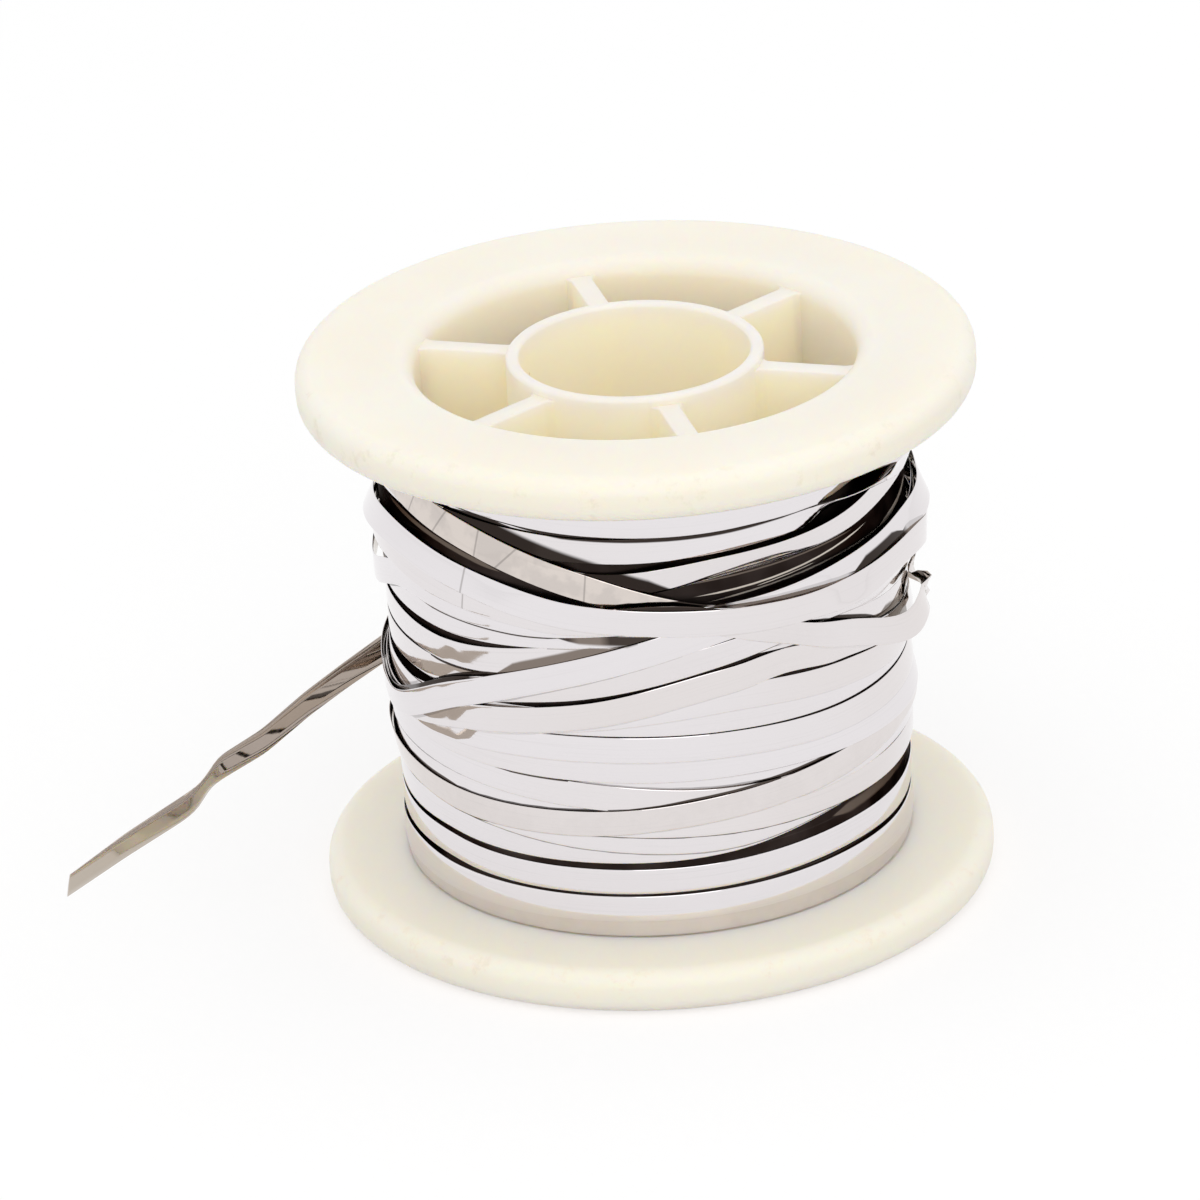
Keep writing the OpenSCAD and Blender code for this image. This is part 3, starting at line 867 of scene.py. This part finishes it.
def lay_turns(sizes):
    """Lays the strip on itself step by step. Returns angles, heights, radii, leans and seams, in millimetres.

    At every step the strip is a straight bar pressed on what lies there already: the radius of the bed at that
    angle, kept as a fine row of heights. Its lean is the one at which it touches on both sides of its middle.
    Leans and radii are eased along the strip, as a springy strip eases them, and each step then joins the bed.
    """
    per_turn = sizes.steps
    step = 360 / per_turn
    count = int(round((360 * len(TURN_ROWS) + EXIT_TURN_ANGLE) / step)) + 1
    angles = START_ANGLE + step * np.arange(count)
    heights = route_heights(angles)
    half_w = sizes.width / MM / 2
    thick = sizes.thickness / MM
    gap = sizes.lay_gap / MM
    extra_lean = np.zeros(count)
    extra_off = np.zeros(count)
    for turn, middle, reach, rise, off, lean in STRAYS:
        share = np.clip(1 - np.abs(angles - (360 * turn + middle)) / reach, 0, 1)
        bump = np.sin(share * math.pi / 2) ** 2
        heights += rise * bump
        extra_off += off * bump
        extra_lean += lean * bump
    low_z, high_z = layers_low.z / MM, layers_high.z / MM
    low_r = WINDING_RADIUS
    rise_r = layers_high.x / MM - low_r
    climb = np.gradient(heights, angles) / (CLIMB_RADIUS * math.pi / 180)
    half = half_w * np.sqrt(1 + climb**2)
    heights = np.clip(heights, low_z + half, high_z - half)
    # How far each step would stand off with nothing under it
    share = np.clip(((heights - low_z) / (high_z - low_z) - LOOSE_FROM) / (1 - LOOSE_FROM), 0, 1)
    side = np.maximum(0, np.cos(np.radians(angles - LOOSE_DIRECTION))) ** 2
    off = sizes.loose_side / MM * np.minimum(1, 2 * share) * side
    turn, middle, reach = LOOP
    loop = np.abs(angles - (360 * turn + middle)) / reach
    off += np.where(loop < 1, sizes.loop_bulge / MM * np.cos(np.minimum(loop, 1) * math.pi / 2) ** 2, 0)
    off += extra_off
    # The bed: radius at each angle and height
    cells_z = np.arange(low_z, high_z + BED_CELL, BED_CELL)
    wall = low_r + rise_r * (cells_z - low_z) / (high_z - low_z)
    bed = np.tile(wall + gap, (per_turn, 1))

    lean = np.zeros(count)

    def under(j):
        """First and last cell under a step"""
        reach = half[j] / math.hypot(1, lean[j])
        a = int(np.searchsorted(cells_z, heights[j] - reach))
        b = int(np.searchsorted(cells_z, heights[j] + reach))
        return a, b

    def touch(j):
        """Lean at which a straight bar rests on the bed on both sides of its middle"""
        a, b = under(j)
        dz = cells_z[a:b:2] - heights[j]
        r = bed[j % per_turn, a:b:2]
        left, right = dz < -0.01, dz > 0.01
        zl, rl, zr, rr = dz[left], r[left], dz[right], r[right]
        lean = (rr[None, :] - rl[:, None]) / (zr[None, :] - zl[:, None])
        level = rl[:, None] - lean * zl[:, None]
        best = np.unravel_index(np.argmax(level), level.shape)
        return float(np.clip(lean[best], -STEEPEST_LEAN, STEEPEST_LEAN))

    weights = hann(EASING)
    raw_lean = np.zeros(count)
    need = np.zeros(count)
    radii = np.zeros(count)
    topmost = np.full(bed.shape, -1)

    def around(values, j):
        """Values within the easing's reach of a step"""
        return values[np.clip(np.arange(j - EASING, j + EASING + 1), 0, count - 1)]

    # The lean is found two reaches ahead of the step that comes to rest, and eased one reach ahead
    for j in range(-2 * EASING, count):
        k = j + 2 * EASING
        if k < count:
            raw_lean[k] = touch(k)
        k = j + EASING
        if 0 <= k < count:
            lean[k] = float(around(raw_lean, k) @ weights) + extra_lean[k]
            a, b = under(k)
            dz = cells_z[a:b] - heights[k]
            floor_r = low_r + rise_r * (heights[k] - low_z) / (high_z - low_z) + gap + off[k]
            need[k] = max(float((bed[k % per_turn, a:b] - lean[k] * dz).max()), floor_r)
        if j < 0:
            continue
        values = around(need, j)
        wide = np.array([values[max(0, i - 2) : i + 3].max() for i in range(len(values))])
        radii[j] = max(float(wide @ weights), need[j])
        a, b = under(j)
        dz = cells_z[a:b] - heights[j]
        row = bed[j % per_turn]
        row[a:b] = np.maximum(row[a:b], radii[j] + lean[j] * dz + thick + gap)
        topmost[j % per_turn, a:b] = j
    # Where the turns that lie over a step leave its face free, and how dark the painted shade lines there are
    narrowest, widest = SEAM_REACH
    seams = np.tile(OPEN_SEAMS, (count, 1))
    for j in range(count):
        a, b = under(j)
        column = topmost[j % per_turn]
        seen = np.flatnonzero(column[a:b] == j)
        if len(seen) == 0:
            seams[j, :4] = [heights[j] - half[j], 1.0, heights[j] + half[j], 1.0]
            continue
        for side, cell_seen, cell_over in ((0, a + seen[-1], a + seen[-1] + 1), (2, a + seen[0], a + seen[0] - 1)):
            if not a <= cell_over < b:
                continue
            over = column[cell_over]
            z = cells_z[cell_seen]
            stand = radii[over] + lean[over] * (z - heights[over]) - radii[j] - lean[j] * (z - heights[j]) - thick
            lines = EDGE_LINES.get(over // per_turn, (USUAL_LINE, USUAL_LINE))
            seams[j, side : side + 2] = [z, min(widest, narrowest + 0.5 * max(0.0, stand))]
            seams[j, 4 + side // 2] = lines[1 - side // 2]
    spread = half / np.hypot(1, lean)
    # Each cast grows and runs out over a fifth of its length
    for turn, first, last, side, reach, tone in CASTS:
        for k in np.flatnonzero((angles > 360 * turn + first) & (angles < 360 * turn + last)):
            share = (angles[k] - 360 * turn - first) / (last - first)
            band = reach * min(1, 5 * share, 5 * (1 - share))
            edge = heights[k] + side * spread[k]
            for j in range(k - per_turn, -1, -per_turn):
                near = side * (heights[j] - edge)
                if not -spread[j] < near < spread[j] + band:
                    continue
                at = 2 if side > 0 else 0
                hidden = max(0.0, side * (seams[j, at] - edge))
                if hidden < band:
                    seams[j, at : at + 2] = [edge + side * hidden, max(band - hidden, narrowest)]
                    seams[j, 4 + at // 2] = 1.0
                    seams[j, 6] = max(seams[j, 6], tone)
    return angles, heights, radii + thick / 2, lean, seams


def warmth(angles):
    """Share of the warm tint along the strip, eased from turn to turn"""
    turn = np.floor((angles - START_ANGLE) / 360).astype(int)
    share = np.array([WARM_TURNS.get(t, 0.0) for t in turn])
    return smoothed(share, WARMTH_EASING)


def strip_route(sizes):
    """Points along the strip's middle, the way its face looks and the marks that its finish reads, in metres"""
    angles, heights, radii, lean, seams = lay_turns(sizes)
    turn = np.radians(angles)
    outward = np.stack([np.cos(turn), np.sin(turn), np.zeros_like(turn)], 1)
    points = outward * radii[:, None]
    points[:, 2] = heights
    faces = outward.copy()
    faces[:, 2] = -lean
    # The free end goes straight on from the last step
    end = points[-1]
    exit_turn = turn[-1]
    along = np.array([-math.sin(exit_turn), math.cos(exit_turn), 0.0])
    out = outward[-1]
    rows = np.array(TAIL_ROWS, float)
    length = sizes.tail_length / MM
    shares = np.arange(1, TAIL_STEPS + 1) / TAIL_STEPS
    drops = smoothed(np.interp(shares, rows[:, 0], rows[:, 1]), 2)
    leans = np.radians(smoothed(np.interp(shares, rows[:, 0], rows[:, 2]), 2))
    lean_end = math.atan(lean[-1])
    tail_points, tail_faces = [], []
    for share, drop, tilt in zip(shares, drops, leans):
        tilt = tilt - lean_end * max(0.0, 1 - share / TAIL_SETTLES)
        tail_points.append(end + length * share * along - np.array([0, 0, drop]))
        tail_faces.append(out * math.cos(tilt) + np.array([0, 0, math.sin(tilt)]))
    seams[:, :4] *= MM
    marks = np.column_stack([seams, angles, warmth(angles)])
    marks = np.vstack([marks, np.tile([*OPEN_SEAMS, angles[-1] + 90, TAIL_WARMTH], (TAIL_STEPS, 1))])
    points = np.vstack([points, tail_points])
    faces = np.vstack([faces, tail_faces])
    way = np.gradient(points, axis=0)
    way /= np.linalg.norm(way, axis=1)[:, None]
    faces -= way * (faces * way).sum(1)[:, None]
    faces /= np.linalg.norm(faces, axis=1)[:, None]
    return points * MM, faces, marks


# Places across the strip, in shares of its half width, of the section's outer and inner points
OUTER_SHARES = (-0.985, -0.93, -0.82, -0.45, 0.0, 0.45, 0.82, 0.93, 0.985)
INNER_SHARES = (0.95, 0.4, -0.4, -0.95)
# Section points further in than this belong to the inner face
INNER_DEPTH = -0.025 * MM


def strip_profile(sizes):
    """Helper object: section of the strip, x through its thickness and y across it"""
    half = sizes.width / 2
    thick = sizes.thickness / 2
    outer = []
    for share in OUTER_SHARES:
        drop = sizes.crown * share**2 + sizes.edge_drop * max(0.0, (abs(share) - 0.8) / 0.2) ** 2
        outer.append((thick + sizes.crown - drop, share * half))
    inner = [(-thick, share * half) for share in INNER_SHARES]
    ring = outer + [(0.0, half)] + inner + [(0.0, -half)]
    mesh = bpy.data.meshes.new("strip_profile")
    count = len(ring)
    mesh.from_pydata([(x, y, 0) for x, y in ring], [(i, (i + 1) % count) for i in range(count)], [])
    return link_new("strip_profile", mesh)


def swept_strip_tree():
    """Node tree: sweeps the section along the route with its face turned as the route says"""
    tree, nodes, given = new_tree("swept_strip", {"Section": "Object", "Finish": "Material"})
    path = nodes.out("GeometryNodeMeshToCurve", {0: given["Geometry"]})
    facing = nodes.named("facing", "FLOAT_VECTOR")
    path = nodes.out("GeometryNodeSetCurveNormal", {0: path, "Normal": facing}, mode="FREE")
    path = nodes.store(path, "along", nodes.add("GeometryNodeSplineParameter").outputs["Length"])
    section = nodes.out("GeometryNodeMeshToCurve", {0: shape_of(nodes, given["Section"])})
    depth, across = nodes.parts(nodes.out("GeometryNodeInputPosition"))[:2]
    section = nodes.store(section, "across", across)
    section = nodes.store(section, "inside", nodes.math("LESS_THAN", depth, INNER_DEPTH))
    sweep = {"Curve": path, "Profile Curve": section, "Fill Caps": True}
    swept = nodes.out("GeometryNodeCurveToMesh", sweep)
    place = nodes.vector(nodes.named("along"), nodes.named("across"))
    mapped = nodes.store(swept, "strip", place, "FLOAT2", "CORNER")
    smooth = nodes.add("GeometryNodeSetShadeSmooth", {0: mapped, "Shade Smooth": True}, domain="FACE")
    end_tree(nodes, smooth.outputs[0], given["Finish"])
    return tree


# Names of the marks that the strip carries, in the order of the route's columns
MARKS = (
    *("seam_above", "reach_above", "seam_below", "reach_below", "force_above", "force_below"),
    *("tone", "turning", "warmth"),
)


class RIBBONSPOOL_OT_ribbon(bpy.types.Operator):
    """Winds the strip: the last turns laid on one another and the free end"""

    bl_idname = "ribbon_spool.ribbon"
    bl_label = "Wind the ribbon"

    def execute(self, context):
        sizes = context.scene.ribbon_sizes
        points, facing, marks = strip_route(sizes)
        mesh = bpy.data.meshes.new("ribbon")
        mesh.from_pydata([tuple(p) for p in points], [(i, i + 1) for i in range(len(points) - 1)], [])
        stored = mesh.attributes.new("facing", "FLOAT_VECTOR", "POINT")
        stored.data.foreach_set("vector", facing.astype(np.float32).ravel())
        for name, values in zip(MARKS, marks.T):
            stored = mesh.attributes.new(name, "FLOAT", "POINT")
            stored.data.foreach_set("value", values.astype(np.float32))
        ribbon = link_new("ribbon", mesh)
        section = strip_profile(sizes)
        run_tree(ribbon, swept_strip_tree(), {"Section": section, "Finish": strip_finish(sizes)})
        remove_helper(section)
        face_outward(ribbon.data)
        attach(ribbon, ROOT)
        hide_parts("ribbon_turns", "ribbon_tail")
        return {"FINISHED"}


# Half the floor's side and the point that both lamps look at, in metres
FLOOR_REACH = 3.0
LIT_POINT = (0, 0, 0.03)


def soft_lamp(name, place, aim, size, power):
    """A square soft lamp that looks at a point"""
    data = bpy.data.lights.new(name, "AREA")
    data.shape = "SQUARE"
    data.size = size
    data.energy = power
    turn = (Vector(aim) - Vector(place)).to_track_quat("-Z", "Y").to_matrix().to_4x4()
    link_new(name, data).matrix_world = Matrix.Translation(place) @ turn


def plain_white_for_sight(nodes):
    """1 where the eye, a mirror or glass looks at a surface, else 0"""
    path = nodes.add("ShaderNodeLightPath").outputs
    seen = nodes.math("MAXIMUM", path["Is Camera Ray"], path["Is Glossy Ray"])
    return nodes.math("MAXIMUM", seen, path["Is Transmission Ray"])


def floor_finish(look):
    """Pale floor: plain white to the eye with the object's shadow, an ordinary pale surface to the light"""
    material = bpy.data.materials.new("floor")
    nodes = cleared_nodes(material)
    sight = plain_white_for_sight(nodes)
    paper = noise(nodes, object_place(nodes), 900)
    shade = look.floor_shade
    tone = mix_colour(nodes, ramp(nodes, paper, 0.3, 0.7), (shade,) * 3, (shade * 0.99,) * 3)
    lit = nodes.out("ShaderNodeBsdfDiffuse", {"Color": tone})
    glow = nodes.out("ShaderNodeEmission", {"Color": (1, 1, 1, 1), "Strength": look.floor_glow})
    seen = nodes.out("ShaderNodeAddShader", {0: lit, 1: glow})
    plain = nodes.out("ShaderNodeBsdfDiffuse", {"Color": (0.8, 0.8, 0.8, 1)})
    mixed = nodes.out("ShaderNodeMixShader", {0: sight, 1: plain, 2: seen})
    nodes.link(mixed, nodes.add("ShaderNodeOutputMaterial").inputs[0])
    return material


def surrounding_light(look):
    """World: plain white to the eye and to mirrors, a level light to everything else"""
    world = bpy.data.worlds.new("studio")
    nodes = cleared_nodes(world)
    sight = plain_white_for_sight(nodes)
    light = nodes.out("ShaderNodeBackground", {"Color": (1, 1, 1, 1), "Strength": look.ambient})
    white = nodes.out("ShaderNodeBackground", {"Color": (1, 1, 1, 1), "Strength": 1.0})
    mixed = nodes.out("ShaderNodeMixShader", {0: sight, 1: light, 2: white})
    nodes.link(mixed, nodes.add("ShaderNodeOutputWorld").inputs[0])
    bpy.context.scene.world = world


def place_camera(look):
    """Camera at the fitted place, with the fitted lens and roll"""
    back = Vector((0, -math.cos(look.elevation), math.sin(look.elevation)))
    right = Vector((1, 0, 0))
    up = back.cross(right)
    turned_right = math.cos(look.roll) * right - math.sin(look.roll) * up
    turned_up = math.sin(look.roll) * right + math.cos(look.roll) * up
    data = bpy.data.cameras.new("camera")
    data.sensor_fit = "HORIZONTAL"
    data.sensor_width = 36
    data.lens = look.lens
    data.clip_start = 0.01
    data.clip_end = 50
    camera = link_new("camera", data)
    turn = Matrix((turned_right, turned_up, back)).transposed().to_4x4()
    camera.matrix_world = Matrix.Translation(Vector(look.aim) + look.distance * back) @ turn
    bpy.context.scene.camera = camera


class RIBBONSPOOL_OT_stage(bpy.types.Operator):
    """Sets the pale floor, the soft studio light and the camera"""

    bl_idname = "ribbon_spool.stage"
    bl_label = "Set the stage"

    def execute(self, context):
        look = context.scene.stage_look
        mesh = bpy.data.meshes.new("floor")
        corners = [(x * FLOOR_REACH, y * FLOOR_REACH, 0) for x, y in ((-1, -1), (1, -1), (1, 1), (-1, 1))]
        mesh.from_pydata(corners, [], [(0, 1, 2, 3)])
        floor = link_new("floor", mesh)
        mesh.materials.append(floor_finish(look))
        surrounding_light(look)
        soft_lamp("overhead", (0.05, -0.15, 0.9), LIT_POINT, 0.8, look.lamp)
        soft_lamp("front", (0.1, -1.0, 0.45), LIT_POINT, 0.7, look.front_lamp)
        place_camera(look)
        context.scene.view_settings.view_transform = "Standard"
        return {"FINISHED"}


class RIBBONSPOOL_PT_panel(bpy.types.Panel):
    """Lists the steps that build the spool of ribbon"""

    bl_idname = "RIBBONSPOOL_PT_panel"
    bl_label = "Ribbon spool"
    bl_space_type = "VIEW_3D"
    bl_region_type = "UI"
    bl_category = "Ribbon spool"

    def draw(self, context):
        for step in STEPS:
            self.layout.operator(step.bl_idname)


STEPS = (RIBBONSPOOL_OT_stage, RIBBONSPOOL_OT_spool, RIBBONSPOOL_OT_layers, RIBBONSPOOL_OT_ribbon)
GROUPS = (RibbonSizes, SpoolSizes, StageLook)


def register():
    for group in GROUPS + STEPS + (RIBBONSPOOL_PT_panel,):
        bpy.utils.register_class(group)
    bpy.types.Scene.ribbon_sizes = PointerProperty(type=RibbonSizes)
    bpy.types.Scene.spool_sizes = PointerProperty(type=SpoolSizes)
    bpy.types.Scene.stage_look = PointerProperty(type=StageLook)


def unregister():
    del bpy.types.Scene.stage_look
    del bpy.types.Scene.spool_sizes
    del bpy.types.Scene.ribbon_sizes
    for group in reversed(GROUPS + STEPS + (RIBBONSPOOL_PT_panel,)):
        bpy.utils.unregister_class(group)


def main():
    register()
    bpy.ops.ribbon_spool.stage()
    bpy.ops.ribbon_spool.spool()
    bpy.ops.ribbon_spool.layers()
    bpy.ops.ribbon_spool.ribbon()


if __name__ == "__main__":
    main()
